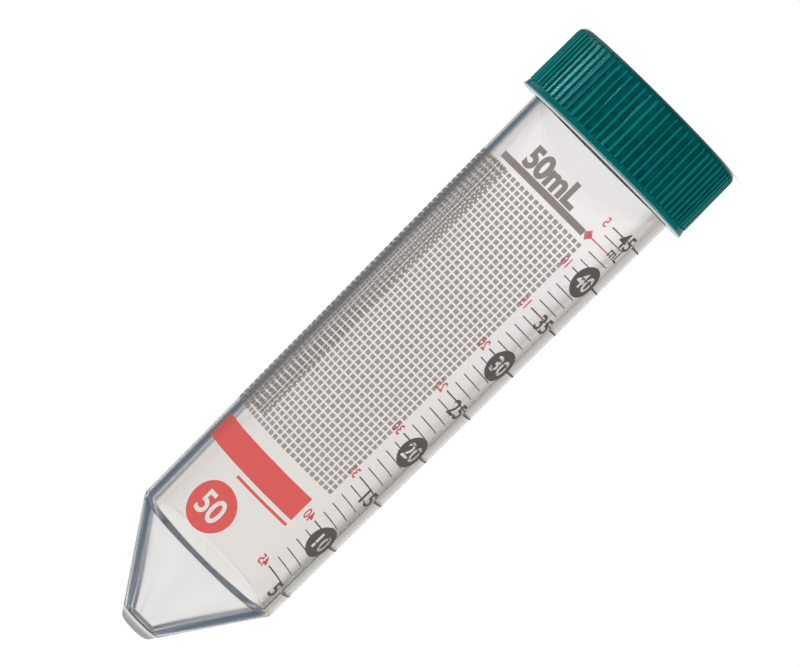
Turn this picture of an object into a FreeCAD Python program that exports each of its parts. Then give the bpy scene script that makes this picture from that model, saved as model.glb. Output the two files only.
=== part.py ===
"""A 50 ml conical tube, standing on the flat top of its screw cap with the tip up.

It is two mouldings: a ribbed screw cap, and a clear tube whose collar wraps the cap's plain band.
The print on the wall is a set of thin fields that follow the wall's taper.

Millimetres. The origin is the middle of the cap's flat top, and +Z runs up the axis to the tip.
A bearing is an angle round the axis, in degrees: 0 is the front (-Y), and it grows to the right of
a person who faces the front and holds the tip down. Print is upright when the tip is down.
"""

import FreeCAD, Part

import math
import os

from FreeCAD import Vector

os.makedirs("parts", exist_ok=True)

# ---- The cap ------------------------------------------------------------------------------------
CAP_PLATE = 1.4  # thickness of the flat top, which the tube's mouth seats on
CAP_EDGE_ROUND = 1.4  # rounding of the flat top's edge
CAP_WALL = 0.85  # wall between two ribs, at the open end
GRIP_HEIGHT = 11.64  # height of the ribs, from the flat top
GRIP_DRAFT = 0.1  # how much wider the crests are at the ribs' end
RIB_COUNT = 77
RIB_DEPTH = 0.4
RIB_CREST = 0.42  # width of a rib's crest
RIB_FOOT = 0.62  # width of a rib's foot
BAND_HEIGHT = 0.8  # the plain band below the ribs, which the collar wraps
BAND_STEP = 0.48  # how far the band lies inside the ribs' crests
PLUG_DEPTH = 2.4  # the ring that plugs the mouth
PLUG_WALL = 0.8
PLUG_CLEARANCE = 0.12
PLUG_LEAD = 0.3  # chamfer that leads the ring into the mouth

# ---- The screw thread ---------------------------------------------------------------------------
THREAD_PITCH = 3.8
THREAD_TURNS = 1.6
THREAD_START = 1.8  # height of the neck ridge's first end above the mouth
NECK_RIDGE = 0.5  # how far the neck's ridge stands out
CAP_RIDGE = 0.35  # how far the cap's ridge stands in
RIDGE_FOOT = 1.5  # width of a ridge at its foot
RIDGE_CREST = 0.7  # width of a ridge at its crest
CREST_CLEARANCE = 0.15  # between the two ridges' crests, so that the tube lifts straight off

# ---- The tube -----------------------------------------------------------------------------------
NECK_WALL = 1.08  # wall of the neck below its ridge
MOUTH_ROUND = 0.25
BODY_R = 14.48  # outer radius just past the collar
BODY_R_CONE = 13.8  # outer radius where the cone starts
BODY_LENGTH = 87.0  # from the collar to the cone
BODY_WALL = 1.01  # wall just past the collar
BODY_WALL_CONE = 1.43  # wall where the cone starts
CONE_HALF_ANGLE = 34.2
CONE_WALL = 1.4
TIP_R = 2.69  # radius at which the cone's side reaches the end plane
TIP_WALL = 1.9
TIP_ROUND = 1.2
TIP_INNER_ROUND = 0.9
CONE_ROUND = 1.5  # rounding where the body turns into the cone
COLLAR_GAP = 0.1  # between the cap's end and the collar's shelf
RIM_GAP = 0.1  # between the ribs' ends and the rim's edge
RIM_CLEARANCE = 0.15  # between the cap's band and the rim
RIM_WALL = 0.3  # wall of the rim at its edge
RIM_FLARE = 0.2  # how much wider the rim is at its foot
COLLAR_EDGE = 0.45  # thickness of the collar at its outer corner
COLLAR_RISE = 0.15  # how much higher the collar meets the wall than its outer corner

# ---- The print ----------------------------------------------------------------------------------
INK = 0.1  # thickness of a printed field
SIGN_GAP = 0.75  # space between two signs, in widths of their stroke
PRESS_MARGIN = 1.0  # how far a drawing's block reaches past the wall's face, and the face past it
SIDE_MARGIN = 5.0  # the same round the wall, in degrees
BOW_STEP = 45.0  # degrees that one short straight step of a curved stroke turns
M_WIDTH = 1.5  # how much wider than a number the letter m is
SCALE_SHIFT = 0.2  # the scale is printed this much nearer the tip than the exact volumes
SCALE_STEP = 5  # millilitres from one number to the next
SCALE_CLEAR = 1.0  # bare wall that the last number keeps from the collar
TICK_END_BEARING = 143.3  # where every tick ends
MINOR_START_BEARING = 122.5
MAJOR_START_BEARING = 63.8
MINOR_TICK = 0.2  # thickness of a tick
MAJOR_TICK = 0.3
NUMBER_BEARING = 53.5
NUMBER_HEIGHT = 2.9
NUMBER_WIDTH = 1.7
NUMBER_STROKE = 0.46
DISC_DIAMETER = 5.8  # dark disc round an unprinted number
UNIT_HEIGHT = 2.0
UNIT_WIDTH = 1.25
UNIT_STROKE = 0.32
UNIT_BEARING = 55.0
UNIT_BELOW = 1.5  # millilitres from the last number to the middle of the unit
REVERSE_BEARING = 148.0
REVERSE_HEIGHT = 2.0
REVERSE_WIDTH = 0.86
REVERSE_STROKE = 0.24
FULL_BELOW = 2  # millilitres from the last number to the red line
DIAMOND_BEARING = 149.2
DIAMOND_WIDTH = 1.4
DIAMOND_HEIGHT = 1.9
PANEL_START_BEARING = -134.0
PANEL_END_BEARING = 30.0
PANEL_FROM_COLLAR = 11.36
PANEL_GAP = 2.4  # between the panel and the red bar
PANEL_PITCH = 1.065  # from one stripe of the panel to the next
PANEL_STRIPE = 0.75
MARK_BEARING = -14.5
MARK_HEIGHT = 4.2  # height of the large number beside the cap
MARK_WIDTH = 2.6
MARK_STROKE = 0.85
MARK_FROM_COLLAR = 9.06  # from the collar to the line on which the large number stands
BAR_START_BEARING = -53.0
BAR_END_BEARING = 24.0
BAR_FROM_COLLAR = 9.26
BAR_THICKNESS = 1.2
RED_BAR_START_BEARING = -68.0
RED_BAR_END_BEARING = 22.7
RED_BAR_THICKNESS = 4.6
RED_LINE_START_BEARING = -22.3
RED_LINE_FROM_CONE = 12.94
RED_LINE_GAP = 0.8  # between the thin line and the red bar
RED_LINE_THICKNESS = 0.5
RED_DISC_BEARING = -20.5
RED_DISC_FROM_CONE = 2.84
RED_DISC_DIAMETER = 8.4
RED_NUMBER_HEIGHT = 4.2
RED_NUMBER_WIDTH = 2.3
RED_NUMBER_STROKE = 0.67

# ---- Sizes that follow --------------------------------------------------------------------------
CONE_SLOPE = math.tan(math.radians(CONE_HALF_ANGLE))
MOUTH_Z = CAP_PLATE
CAP_END_Z = GRIP_HEIGHT + BAND_HEIGHT
SHELF_Z = CAP_END_Z + COLLAR_GAP
CORNER_Z = SHELF_Z + COLLAR_EDGE
BODY_Z = CORNER_Z + COLLAR_RISE
CONE_Z = BODY_Z + BODY_LENGTH
END_Z = CONE_Z + (BODY_R_CONE - TIP_R) / CONE_SLOPE
FLOOR_Z = END_Z - TIP_WALL

BODY_DRAFT = (BODY_R - BODY_R_CONE) / BODY_LENGTH
BORE_DRAFT = BODY_DRAFT + (BODY_WALL_CONE - BODY_WALL) / BODY_LENGTH
BORE_R_CONE = BODY_R_CONE - BODY_WALL_CONE


def body_r(z):
    """Outer radius of the tapered body."""
    return BODY_R_CONE + (CONE_Z - z) * BODY_DRAFT


def bore_r(z):
    """Radius of the tapered bore, from the mouth to the inner cone."""
    return BORE_R_CONE + (CONE_Z - z) * BORE_DRAFT


def inner_cone_r(z):
    """Radius of the inner cone, a wall's thickness inside the outer one."""
    across = CONE_WALL / math.cos(math.radians(CONE_HALF_ANGLE))
    return BODY_R_CONE + (CONE_Z - z) * CONE_SLOPE - across


MOUTH_R = bore_r(MOUTH_Z)
NECK_R = MOUTH_R + NECK_WALL
NECK_CREST_R = NECK_R + NECK_RIDGE
CAP_BORE_R = NECK_CREST_R + CREST_CLEARANCE + CAP_RIDGE
VALLEY_R = CAP_BORE_R + CAP_WALL
GRIP_R = VALLEY_R + RIB_DEPTH
BAND_R = GRIP_R - BAND_STEP
PLUG_R = bore_r(MOUTH_Z + PLUG_DEPTH) - PLUG_CLEARANCE
RIM_R = BAND_R + RIM_CLEARANCE
INNER_CONE_Z = CONE_Z + (inner_cone_r(CONE_Z) - BORE_R_CONE) / (CONE_SLOPE - BORE_DRAFT)
RED_BAR_END_Z = CONE_Z - RED_LINE_FROM_CONE - RED_LINE_THICKNESS - RED_LINE_GAP
RED_BAR_Z = RED_BAR_END_Z - RED_BAR_THICKNESS
PANEL_START_Z = BODY_Z + PANEL_FROM_COLLAR
PANEL_END_Z = RED_BAR_Z - PANEL_GAP


# ---- Helpers ------------------------------------------------------------------------------------
def turned(points, angle=360.0):
    """A solid of revolution about Z from (radius, height) points."""
    corners = [Vector(r, 0, z) for r, z in points]
    face = Part.Face(Part.makePolygon(corners + corners[:1]))
    return face.revolve(Vector(0, 0, 0), Vector(0, 0, 1), angle)


def rounded(solid, radius, r, z):
    """The solid with its round edge at radius r and height z filleted."""
    edges = []
    for edge in solid.Edges:
        box = edge.BoundBox
        flat = box.ZLength < 1e-6 and abs(box.ZMin - z) < 1e-4
        if flat and abs(box.XMax - r) < 1e-4:
            edges.append(edge)
    return solid.makeFillet(radius, edges)


def merged(solids):
    """One shape from solids that overlap, without the seams between them."""
    whole = solids[0]
    if len(solids) > 1:
        whole = whole.multiFuse(solids[1:])
    return whole.removeSplitter()


def save(node, shape):
    """Write a node and say what it holds."""
    solids = shape.Solids
    whole = solids[0] if len(solids) == 1 else Part.makeCompound(solids)
    whole.exportStep(f"parts/{node}.step")
    print(f"{node}: {len(solids)} solids, {whole.Volume:.2f} mm3, valid {whole.isValid()}")


# ---- Screw ridges -------------------------------------------------------------------------------
def screw_ridge(foot_r, crest_r, start_z, sink):
    """A helical ridge from foot_r to crest_r, sunk into the wall that carries it."""
    out = 1 if crest_r > foot_r else -1
    spread = (RIDGE_FOOT - RIDGE_CREST) / 2 * sink / abs(crest_r - foot_r)
    foot = RIDGE_FOOT / 2 + spread
    crest = RIDGE_CREST / 2
    corners = [
        Vector(foot_r - out * sink, 0, start_z - foot),
        Vector(crest_r, 0, start_z - crest),
        Vector(crest_r, 0, start_z + crest),
        Vector(foot_r - out * sink, 0, start_z + foot),
    ]
    helix = Part.makeHelix(THREAD_PITCH, THREAD_PITCH * THREAD_TURNS, foot_r)
    helix.translate(Vector(0, 0, start_z))
    sweep = Part.BRepOffsetAPI.MakePipeShell(Part.Wire(helix.Edges))
    sweep.setBiNormalMode(Vector(0, 0, 1))
    sweep.add(Part.makePolygon(corners + corners[:1]))
    sweep.build()
    sweep.makeSolid()
    return sweep.shape()


# ---- The cap ------------------------------------------------------------------------------------
def cap_section():
    """The cap's section, as if its ribs went all the way round."""
    start = CAP_PLATE + PLUG_DEPTH
    return [
        (0, 0),
        (GRIP_R - GRIP_DRAFT, 0),
        (GRIP_R, GRIP_HEIGHT),
        (BAND_R, GRIP_HEIGHT),
        (BAND_R, CAP_END_Z),
        (CAP_BORE_R, CAP_END_Z),
        (CAP_BORE_R, CAP_PLATE),
        (PLUG_R, CAP_PLATE),
        (PLUG_R, start - PLUG_LEAD),
        (PLUG_R - PLUG_LEAD, start),
        (PLUG_R - PLUG_WALL, start),
        (PLUG_R - PLUG_WALL, CAP_PLATE),
        (0, CAP_PLATE),
    ]


def grip_outline():
    """The outline across the ribs, as a wire on the floor."""
    over = RIB_DEPTH / 4  # the ribs run on this far past their crests, where the blank ends them
    beyond = GRIP_R + over
    foot = RIB_FOOT / 2 / VALLEY_R
    crest = RIB_CREST / 2 / GRIP_R
    crest -= (foot - crest) * over / RIB_DEPTH
    pitch = 2 * math.pi / RIB_COUNT

    def at(radius, angle):
        return Vector(radius * math.cos(angle), radius * math.sin(angle), 0)

    edges = []
    for rib in range(RIB_COUNT):
        middle = rib * pitch
        valley = middle + pitch / 2
        rise = at(VALLEY_R, middle - foot)
        left = at(beyond, middle - crest)
        right = at(beyond, middle + crest)
        fall = at(VALLEY_R, middle + foot)
        after = at(VALLEY_R, middle + pitch - foot)
        edges.append(Part.makeLine(rise, left))
        edges.append(Part.makeLine(left, right))
        edges.append(Part.makeLine(right, fall))
        edges.append(Part.Arc(fall, at(VALLEY_R, valley), after).toShape())
    return Part.Wire(edges)


def make_cap():
    """The cap: a turned blank with its edge rounded, cut back between the ribs."""
    blank = rounded(turned(cap_section()), CAP_EDGE_ROUND, GRIP_R - GRIP_DRAFT, 0)
    ribbed = Part.Face(grip_outline()).extrude(Vector(0, 0, GRIP_HEIGHT))
    plain = Part.makeCylinder(GRIP_R + RIB_DEPTH, BAND_HEIGHT, Vector(0, 0, GRIP_HEIGHT))
    cap = blank.common(ribbed.fuse(plain))
    start = MOUTH_Z + THREAD_START + THREAD_PITCH / 2
    ridge = screw_ridge(CAP_BORE_R, CAP_BORE_R - CAP_RIDGE, start, CAP_WALL / 3)
    return merged([cap, ridge])


# ---- The tube -----------------------------------------------------------------------------------
def tube_section():
    """The tube's section, from the mouth up to the tip."""
    return [
        (MOUTH_R, MOUTH_Z),
        (NECK_R, MOUTH_Z),
        (NECK_R, SHELF_Z),
        (RIM_R, SHELF_Z),
        (RIM_R, GRIP_HEIGHT + RIM_GAP),
        (RIM_R + RIM_WALL, GRIP_HEIGHT + RIM_GAP),
        (RIM_R + RIM_WALL + RIM_FLARE, CORNER_Z),
        (BODY_R, BODY_Z),
        (BODY_R_CONE, CONE_Z),
        (TIP_R, END_Z),
        (0, END_Z),
        (0, FLOOR_Z),
        (inner_cone_r(FLOOR_Z), FLOOR_Z),
        (bore_r(INNER_CONE_Z), INNER_CONE_Z),
    ]


def make_tube():
    """The tube: a turned section with its turns rounded, and the neck's ridge."""
    tube = turned(tube_section())
    tube = rounded(tube, TIP_ROUND, TIP_R, END_Z)
    tube = rounded(tube, TIP_INNER_ROUND, inner_cone_r(FLOOR_Z), FLOOR_Z)
    tube = rounded(tube, CONE_ROUND, BODY_R_CONE, CONE_Z)
    tube = rounded(tube, CONE_ROUND, bore_r(INNER_CONE_Z), INNER_CONE_Z)
    tube = rounded(tube, MOUTH_ROUND, NECK_R, MOUTH_Z)
    ridge = screw_ridge(NECK_R, NECK_CREST_R, MOUTH_Z + THREAD_START, NECK_WALL / 3)
    return merged([tube, ridge])


# ---- The scale's levels -------------------------------------------------------------------------
def frustum(r_low, r_high, height):
    """Volume of a length of cone."""
    return math.pi / 3 * height * (r_low**2 + r_low * r_high + r_high**2)


def held(z):
    """Millilitres that the tube holds with its tip down, up to height z of the bore."""
    cone = frustum(bore_r(INNER_CONE_Z), inner_cone_r(FLOOR_Z), FLOOR_Z - INNER_CONE_Z)
    return (cone + frustum(bore_r(z), bore_r(INNER_CONE_Z), INNER_CONE_Z - z)) / 1000


def level(millilitres):
    """Height of a mark, found by halving the bore's length."""
    low = MOUTH_Z
    high = INNER_CONE_Z
    while high - low > 1e-6:
        middle = (low + high) / 2
        if held(middle) > millilitres:
            low = middle
        else:
            high = middle
    return low + SCALE_SHIFT


def last_number():
    """Millilitres at the last number of the scale that stays clear of the collar."""
    limit = BODY_Z + SCALE_CLEAR + DISC_DIAMETER / 2
    millilitres = SCALE_STEP
    while level(millilitres + SCALE_STEP) > limit:
        millilitres += SCALE_STEP
    return millilitres


SCALE_TOP = last_number()


# ---- Print --------------------------------------------------------------------------------------
def field(z_low, z_high, start_bearing, end_bearing):
    """A printed field between two heights and two bearings, seated on the wall."""
    points = [
        (body_r(z_low), z_low),
        (body_r(z_low) + INK, z_low),
        (body_r(z_high) + INK, z_high),
        (body_r(z_high), z_high),
    ]
    solid = turned(points, end_bearing - start_bearing)
    solid.rotate(Vector(0, 0, 0), Vector(0, 0, 1), 270 - end_bearing)
    return solid


def tick(millilitres, thickness, start_bearing):
    """One mark of the scale."""
    z = level(millilitres)
    return field(z - thickness / 2, z + thickness / 2, start_bearing, TICK_END_BEARING)


def pressed(flat, bearing, z):
    """A flat drawing about its own middle, printed on the wall at a bearing and height."""
    half_width = flat.BoundBox.XLength / 2
    half_height = flat.BoundBox.YLength / 2 + PRESS_MARGIN
    radius = body_r(z)
    falls_away = radius - math.sqrt(radius**2 - half_width**2)
    inside = radius - falls_away - PRESS_MARGIN
    block = flat.extrude(Vector(0, 0, falls_away + 2 * PRESS_MARGIN))
    turn = math.radians(bearing)
    out = Vector(-math.sin(turn), -math.cos(turn), 0)
    right = Vector(-math.cos(turn), math.sin(turn), 0)
    across = FreeCAD.Rotation(right, Vector(0, 0, -1), out, "ZXY")
    block.Placement = FreeCAD.Placement(out * inside + Vector(0, 0, z), across)
    side = math.degrees(math.asin(half_width / radius)) + SIDE_MARGIN
    wall = field(z - half_height, z + half_height, bearing - side, bearing + side)
    return wall.common(block)


def stroke(x0, y0, x1, y1, width):
    """A straight stroke between two points."""
    along = Vector(x1 - x0, y1 - y0, 0).normalize()
    side = Vector(-along.y, along.x, 0) * (width / 2)
    start = Vector(x0, y0, 0)
    end = Vector(x1, y1, 0)
    corners = [start + side, start - side, end - side, end + side]
    return Part.Face(Part.makePolygon(corners + corners[:1]))


def bow(x, y, radius, start, end, width):
    """A curved stroke about (x, y), from one angle to another in degrees, in short straight steps."""
    steps = math.ceil((end - start) / BOW_STEP)
    corners = []
    for side in (1, -1):
        reach = radius + side * width / 2
        for step in range(steps + 1):
            along = step if side == 1 else steps - step
            angle = math.radians(start + (end - start) * along / steps)
            corners.append(Vector(x + reach * math.cos(angle), y + reach * math.sin(angle), 0))
    return Part.Face(Part.makePolygon(corners + corners[:1]))


def glyph(sign, height, width, line):
    """The strokes of one number or letter, with its lower left corner at zero."""
    left = line / 2
    right = width - line / 2
    low = line / 2
    high = height - line / 2
    mid = width / 2
    r = (width - line) / 2
    if sign == "0":
        return [
            bow(mid, high - r, r, 0, 180, line),
            bow(mid, low + r, r, 180, 360, line),
            stroke(left, low + r, left, high - r, line),
            stroke(right, low + r, right, high - r, line),
        ]
    if sign == "1":
        stem = mid + line / 2
        return [
            stroke(stem, 0, stem, height, line),
            stroke(stem, high, left, height * 0.76, line),
        ]
    if sign == "2":
        return [
            bow(mid, high - r, r, 0, 180, line),
            stroke(right, high - r, left, low, line),
            stroke(0, low, width, low, line),
        ]
    if sign == "3":
        waist = height * 0.53
        return [
            bow(mid, high - r, r, 0, 180, line),
            stroke(right, high - r, right, waist + r, line),
            stroke(right, waist - r, right, low + r, line),
            bow(mid, waist + r, r, 270, 360, line),
            bow(mid, waist - r, r, 0, 90, line),
            bow(mid, low + r, r, 180, 360, line),
        ]
    if sign == "4":
        stem = width * 0.72
        cross = height * 0.27
        return [
            stroke(stem, 0, stem, height, line),
            stroke(stem - line * 0.3, high, left * 0.8, cross, line),
            stroke(0, cross, width, cross, line),
        ]
    if sign == "5":
        waist = height * 0.6 - line / 2
        return [
            stroke(left / 2, high, right, high, line),
            stroke(left * 1.1, height, left * 1.1, waist - r * 0.4, line),
            bow(mid, waist - r, r, 0, 3 * BOW_STEP, line),
            stroke(right, waist - r, right, low + r, line),
            bow(mid, low + r, r, 180, 360, line),
        ]
    if sign == "6":
        return [
            bow(mid, high - r, r, 0, 180, line),
            stroke(left, low + r, left, high - r, line),
            bow(mid, low + r, r, 0, 360, line),
        ]
    if sign == "7":
        return [
            stroke(0, high, width, high, line),
            stroke(right, high, mid, 0, line),
        ]
    if sign == "8":
        return [
            bow(mid, high - r, r, 0, 180, line),
            stroke(left, low + r, left, high - r, line),
            stroke(right, low + r, right, high - r, line),
            stroke(left, height / 2, right, height / 2, line),
            bow(mid, low + r, r, 180, 360, line),
        ]
    if sign == "9":
        return [
            bow(mid, high - r, r, 0, 360, line),
            stroke(right, low + r, right, high - r, line),
            bow(mid, low + r, r, 180, 360, line),
        ]
    if sign == "m":
        top = height * 0.7
        arch = (width - line) / 4
        return [
            stroke(left, 0, left, top, line),
            bow(left + arch, top - line / 2 - arch, arch, 0, 180, line),
            stroke(mid, 0, mid, top - line / 2 - arch, line),
            bow(mid + arch, top - line / 2 - arch, arch, 0, 180, line),
            stroke(right, 0, right, top - line / 2 - arch, line),
        ]
    return [stroke(left, 0, left, height, line), stroke(0, low, width, low, line)]


def drawn(text, height, width, line):
    """A row of signs as one flat drawing about its own middle."""
    signs = []
    gap = line * SIGN_GAP
    x = 0.0
    for sign in text:
        wide = width * (M_WIDTH if sign == "m" else 1.0)
        shape = merged(glyph(sign, height, wide, line))
        shape.translate(Vector(x, -height / 2, 0))
        signs.append(shape)
        x += wide + gap
    flat = Part.makeCompound(signs)
    flat.translate(Vector((gap - x) / 2, 0, 0))
    return flat


def disc(diameter):
    """A round drawing about its own middle."""
    return Part.Face(Part.Wire(Part.makeCircle(diameter / 2)))


# ---- The printed nodes --------------------------------------------------------------------------
def make_scale_print():
    """Dark ticks, numbers and discs, and the unit."""
    pieces = []
    for millilitres in range(SCALE_STEP, SCALE_TOP + 1):
        major = millilitres % SCALE_STEP == 0
        start = MAJOR_START_BEARING if major else MINOR_START_BEARING
        if millilitres != SCALE_TOP - FULL_BELOW:
            pieces.append(tick(millilitres, MAJOR_TICK if major else MINOR_TICK, start))
    for millilitres in range(SCALE_STEP, SCALE_TOP + 1, SCALE_STEP):
        number = drawn(str(millilitres), NUMBER_HEIGHT, NUMBER_WIDTH, NUMBER_STROKE)
        if millilitres % (2 * SCALE_STEP) == 0:
            number = disc(DISC_DIAMETER).cut(number)
        pieces.append(pressed(number, NUMBER_BEARING, level(millilitres)))
    unit = drawn("mL", UNIT_HEIGHT, UNIT_WIDTH, UNIT_STROKE)
    pieces.append(pressed(unit, UNIT_BEARING, level(SCALE_TOP - UNIT_BELOW)))
    return Part.makeCompound(pieces)


def make_reverse_scale_print():
    """Red numbers past the ticks' ends, and the red line with its diamond."""
    full = SCALE_TOP - FULL_BELOW
    pieces = [tick(full, MAJOR_TICK, MINOR_START_BEARING)]
    for millilitres in range(SCALE_STEP, SCALE_TOP + 1, SCALE_STEP):
        number = drawn(str(millilitres), REVERSE_HEIGHT, REVERSE_WIDTH, REVERSE_STROKE)
        z = level(SCALE_TOP + SCALE_STEP - millilitres)
        pieces.append(pressed(number, REVERSE_BEARING, z))
    half_width = DIAMOND_WIDTH / 2
    half_height = DIAMOND_HEIGHT / 2
    corners = [Vector(-half_width, 0), Vector(0, -half_height), Vector(half_width, 0)]
    corners.append(Vector(0, half_height))
    diamond = Part.Face(Part.makePolygon(corners + corners[:1]))
    pieces.append(pressed(diamond, DIAMOND_BEARING, level(full)))
    return Part.makeCompound(pieces)


def make_writing_panel():
    """The writing panel, as upright stripes."""
    pitch = math.degrees(PANEL_PITCH / BODY_R)
    wide = math.degrees(PANEL_STRIPE / BODY_R)
    room = PANEL_END_BEARING - PANEL_START_BEARING - wide
    stripes = []
    for stripe in range(math.floor(room / pitch) + 1):
        start = PANEL_START_BEARING + stripe * pitch
        stripes.append(field(PANEL_START_Z, PANEL_END_Z, start, start + wide))
    return Part.makeCompound(stripes)


def make_grey_mark():
    """The large capacity and the bar beside it."""
    capacity = drawn("50mL", MARK_HEIGHT, MARK_WIDTH, MARK_STROKE)
    number = pressed(capacity, MARK_BEARING, BODY_Z + MARK_FROM_COLLAR - MARK_HEIGHT / 2)
    start = BODY_Z + BAR_FROM_COLLAR
    bar = field(start, start + BAR_THICKNESS, BAR_START_BEARING, BAR_END_BEARING)
    return Part.makeCompound([number, bar])


def make_red_mark():
    """A red bar, a thin line and a disc with an unprinted number."""
    bar = field(RED_BAR_Z, RED_BAR_END_Z, RED_BAR_START_BEARING, RED_BAR_END_BEARING)
    line_end = CONE_Z - RED_LINE_FROM_CONE
    line_start = line_end - RED_LINE_THICKNESS
    line = field(line_start, line_end, RED_LINE_START_BEARING, RED_BAR_END_BEARING)
    number = drawn("50", RED_NUMBER_HEIGHT, RED_NUMBER_WIDTH, RED_NUMBER_STROKE)
    round_mark = disc(RED_DISC_DIAMETER).cut(number)
    z = CONE_Z - RED_DISC_FROM_CONE - RED_DISC_DIAMETER / 2
    return Part.makeCompound([bar, line, pressed(round_mark, RED_DISC_BEARING, z)])


print(f"overall {END_Z:.2f} mm, cap {2 * GRIP_R:.2f} mm wide, body {2 * BODY_R:.2f} mm")
for millilitres in range(SCALE_STEP, SCALE_TOP + 1, SCALE_STEP):
    print(f"{millilitres} ml at {level(millilitres):.2f} mm")

save("cap", make_cap())
save("tube", make_tube())
save("scale_print", make_scale_print())
save("reverse_scale_print", make_reverse_scale_print())
save("writing_panel", make_writing_panel())
save("grey_mark", make_grey_mark())
save("red_mark", make_red_mark())
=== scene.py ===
# %% [markdown]
# # A 50 ml conical tube
#
# The real object is two mouldings: a ribbed screw cap in teal polyethylene and a clear tube with a
# cone at its tip. Grey and red ink is screen-printed on the wall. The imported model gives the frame:
# metres, the cap's flat top on the floor at zero, and the tube's axis up Z with the tip at the top.
# Every piece made here is laid over a solid of that model, so its sizes come from the solids' boxes
# and from the few section sizes named below, which are in millimetres.

import math

import bmesh
import bpy
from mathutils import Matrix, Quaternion, Vector


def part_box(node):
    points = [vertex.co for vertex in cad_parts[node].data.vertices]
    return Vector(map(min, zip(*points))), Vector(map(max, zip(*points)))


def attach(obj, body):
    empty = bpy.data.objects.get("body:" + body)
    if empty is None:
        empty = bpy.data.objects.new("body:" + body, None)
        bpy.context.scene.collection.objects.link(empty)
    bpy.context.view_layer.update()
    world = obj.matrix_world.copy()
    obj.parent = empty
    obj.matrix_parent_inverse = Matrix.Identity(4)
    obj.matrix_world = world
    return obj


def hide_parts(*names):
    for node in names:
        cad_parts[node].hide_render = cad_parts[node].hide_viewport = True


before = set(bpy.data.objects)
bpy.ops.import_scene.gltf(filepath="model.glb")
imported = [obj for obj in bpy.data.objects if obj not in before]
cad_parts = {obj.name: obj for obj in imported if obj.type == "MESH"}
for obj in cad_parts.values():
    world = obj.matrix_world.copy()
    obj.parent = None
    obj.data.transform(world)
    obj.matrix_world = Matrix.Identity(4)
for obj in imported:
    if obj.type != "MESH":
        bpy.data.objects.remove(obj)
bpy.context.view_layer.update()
MM = 0.001
cap_low, cap_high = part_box("cap")
tube_low, tube_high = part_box("tube")
print("the cap is", round((cap_high.z - cap_low.z) / MM, 2), "mm high")
print("the tube's tip is", round(tube_high.z / MM, 2), "mm up")

# %% [markdown]
# ## The camera
#
# The tube leans across the picture with its cap at the upper right and its tip at the lower left.
# It still stands upright in the frame: the camera is rolled instead. A long lens, two thirds of a
# metre away, keeps the sides of the tube nearly parallel.

# %% Camera
EYE = Vector((0.0030, -0.670, 0.0282))
AIM = Vector((0.00316, 0, 0.0542))
LENS = 193.0
SENSOR = 36.0
CLIP_START = 0.01
ROLL = -135.0

lens = bpy.data.cameras.new("camera")
lens.lens = LENS
lens.sensor_width = SENSOR
lens.clip_start = CLIP_START
camera = bpy.data.objects.new("camera", lens)
bpy.context.collection.objects.link(camera)
level_look = (AIM - EYE).to_track_quat("-Z", "Y")
camera.location = EYE
camera.rotation_euler = (level_look @ Quaternion((0, 0, 1), math.radians(ROLL))).to_euler()
bpy.context.scene.camera = camera
bpy.context.scene.view_settings.view_transform = "Standard"
print("the camera is", round((AIM - EYE).length, 3), "m from what it looks at")

# %% [markdown]
# ## Shader maths as expressions
#
# A finish is easier to read as a formula than as a row of node calls. One small class wraps a
# socket, so that `1 - mask * 0.2` adds the Math nodes that it needs. Every other node comes from one
# method that takes the node's type, its settings and the values or links of its inputs.

# %% Node helper
class Wire:
    """A shader socket that can be used in sums."""

    def __init__(self, tree, socket):
        self.tree = tree
        self.socket = socket

    def out(self, name):
        """Another output of the same node."""
        return Wire(self.tree, self.socket.node.outputs[name])

    def math(self, operation, *others):
        """A Math node on this socket and the others."""
        inputs = {0: self}
        for place, other in enumerate(others, 1):
            inputs[place] = other
        return self.tree.node("ShaderNodeMath", {"operation": operation}, inputs)

    def __add__(self, other):
        return self.math("ADD", other)

    def __sub__(self, other):
        return self.math("SUBTRACT", other)

    def __mul__(self, other):
        return self.math("MULTIPLY", other)

    def __rsub__(self, other):
        return self.math("MULTIPLY", -1.0).math("ADD", other)

    __radd__ = __add__
    __rmul__ = __mul__


class Tree:
    """A node tree, and the one method that adds a node to it."""

    def __init__(self, tree):
        self.tree = tree
        tree.nodes.clear()

    def node(self, kind, settings=None, inputs=None, output=0):
        """A new node: its settings come first, then the values or links of its inputs."""
        made = self.tree.nodes.new(kind)
        for name, value in (settings or {}).items():
            setattr(made, name, value)
        for name, value in (inputs or {}).items():
            if isinstance(value, Wire):
                self.tree.links.new(value.socket, made.inputs[name])
            else:
                made.inputs[name].default_value = value
        if not made.outputs:
            return None
        return Wire(self, made.outputs[output])

    def step(self, value, low, high):
        """0 below low and 1 above high, with a smooth rise between them."""
        limits = {"Value": value, "From Min": low, "From Max": high}
        return self.node("ShaderNodeMapRange", {"interpolation_type": "SMOOTHSTEP"}, limits)

    def band(self, value, rise, fall):
        """1 from the rise to the fall, each given by where it begins and where it ends."""
        return self.step(value, *rise) * (1 - self.step(value, *fall))

    def mixed(self, factor, first, second):
        """One colour passing into another."""
        return self.node("ShaderNodeMix", {"data_type": "RGBA"}, {0: factor, 6: first, 7: second}, output=2)


def axis_distance(parts):
    """How far a place is from the axis, from its three parts."""
    return (parts.out("X") * parts.out("X") + parts.out("Y") * parts.out("Y")).math("SQRT")


def new_finish(name):
    """A new material and its node tree."""
    material = bpy.data.materials.new(name)
    material.use_nodes = True
    return material, Tree(material.node_tree)


WHITE = (1.0, 1.0, 1.0, 1.0)

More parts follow.
